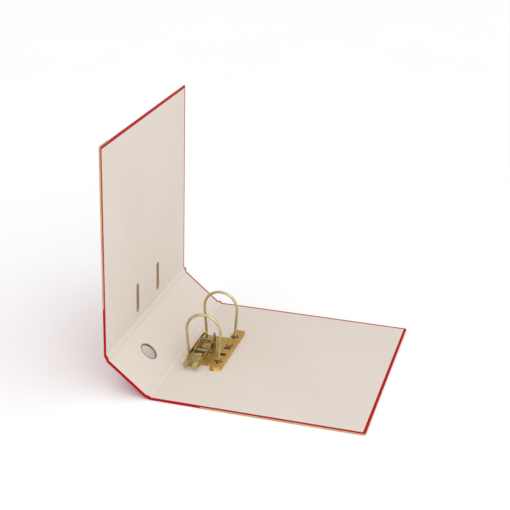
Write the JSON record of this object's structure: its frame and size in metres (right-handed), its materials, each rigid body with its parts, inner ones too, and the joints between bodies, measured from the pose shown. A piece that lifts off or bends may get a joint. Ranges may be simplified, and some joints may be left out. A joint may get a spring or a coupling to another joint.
{
  "type": "lever arch file",
  "caption": "Hard-cover A4 lever arch file with a wide folding spine, arches worked by a lever, label pocket and finger ring.",
  "frame": {"origin": "middle of the back cover's outside face, on which the open file lies", "axes": "+X from the spine towards the back cover's fore edge, +Y towards the file's top edge, +Z out of the inside of the back cover"},
  "size_m": [0.3643, 0.3185, 0.3547],
  "materials": {
    "greyboard": "matte",
    "cover_red": "satin",
    "lining_paper": "matte",
    "edge_guard_metal": "satin",
    "eyelet_metal": "polished",
    "pocket_film": "gloss",
    "label_paper": "matte",
    "plate_brass_finish": "satin",
    "wire_brass_finish": "satin",
    "lever_brass_finish": "satin",
    "pin_metal": "satin"
  },
  "bodies": {
    "back_cover": {"back_board": "greyboard", "back_skin": "cover_red", "back_lining": "lining_paper", "back_edge_guard": "edge_guard_metal", "base_plate": "plate_brass_finish", "lever_bracket": "plate_brass_finish", "lever_pin": "pin_metal", "near_post": "wire_brass_finish", "far_post": "wire_brass_finish", "mechanism_rivets": "pin_metal"},
    "rear_strip": {"rear_strip_board": "greyboard", "rear_strip_skin": "cover_red", "rear_strip_lining": "lining_paper"},
    "spine": {"spine_board": "greyboard", "spine_skin": "cover_red", "spine_lining": "lining_paper", "finger_ring": "eyelet_metal", "label_pocket": "pocket_film"},
    "label_card": {"label_card": "label_paper"},
    "front_strip": {"front_strip_board": "greyboard", "front_strip_skin": "cover_red", "front_strip_lining": "lining_paper"},
    "front_cover": {"front_board": "greyboard", "front_skin": "cover_red", "front_lining": "lining_paper", "front_edge_guard": "edge_guard_metal", "near_slot_eyelet": "eyelet_metal", "far_slot_eyelet": "eyelet_metal"},
    "arches": {"arch_wire": "wire_brass_finish"},
    "lever": {"lever": "lever_brass_finish", "roller_pin": "pin_metal"},
    "roller": {"roller": "pin_metal"}
  },
  "joints": [
    {"name": "rear_fold_strip", "type": "hinge", "parent": "back_cover", "child": "rear_strip", "pos_m": [-0.1485, 0, 0.0024], "axis": [0, -1, 0], "range_deg": [-27, 20]},
    {"name": "rear_fold", "type": "hinge", "parent": "rear_strip", "child": "spine", "pos_m": [-0.15658, 0, 0.00534], "axis": [0, -1, 0], "range_deg": [-27, 20]},
    {"name": "front_fold_strip", "type": "hinge", "parent": "spine", "child": "front_strip", "pos_m": [-0.20906, 0, 0.04937], "axis": [0, -1, 0], "range_deg": [-24, 25.5]},
    {"name": "front_fold", "type": "hinge", "parent": "front_strip", "child": "front_cover", "pos_m": [-0.21262, 0, 0.0572], "axis": [0, -1, 0], "range_deg": [-24, 25.5]},
    {"name": "lever_lift", "type": "hinge", "parent": "back_cover", "child": "lever", "pos_m": [-0.1195, -0.0037, 0.0174], "axis": [-1, 0, 0], "range_deg": [0, 60]},
    {"name": "arch_swing", "type": "hinge", "parent": "back_cover", "child": "arches", "pos_m": [-0.135, 0, 0.0079], "axis": [0, -1, 0], "range_deg": [0, 54]},
    {"name": "roller_spin", "type": "hinge", "parent": "lever", "child": "roller", "pos_m": [-0.1195, -0.0225, 0.0127], "axis": [1, 0, 0], "continuous": true},
    {"name": "label_slide", "type": "slide", "parent": "spine", "child": "label_card", "axis": [0, 1, 0], "range_m": [0, 0.185]}
  ],
  "couplings": [
    {"joint": "arch_swing", "follows": "lever_lift", "ratio": 0.9}
  ]
}
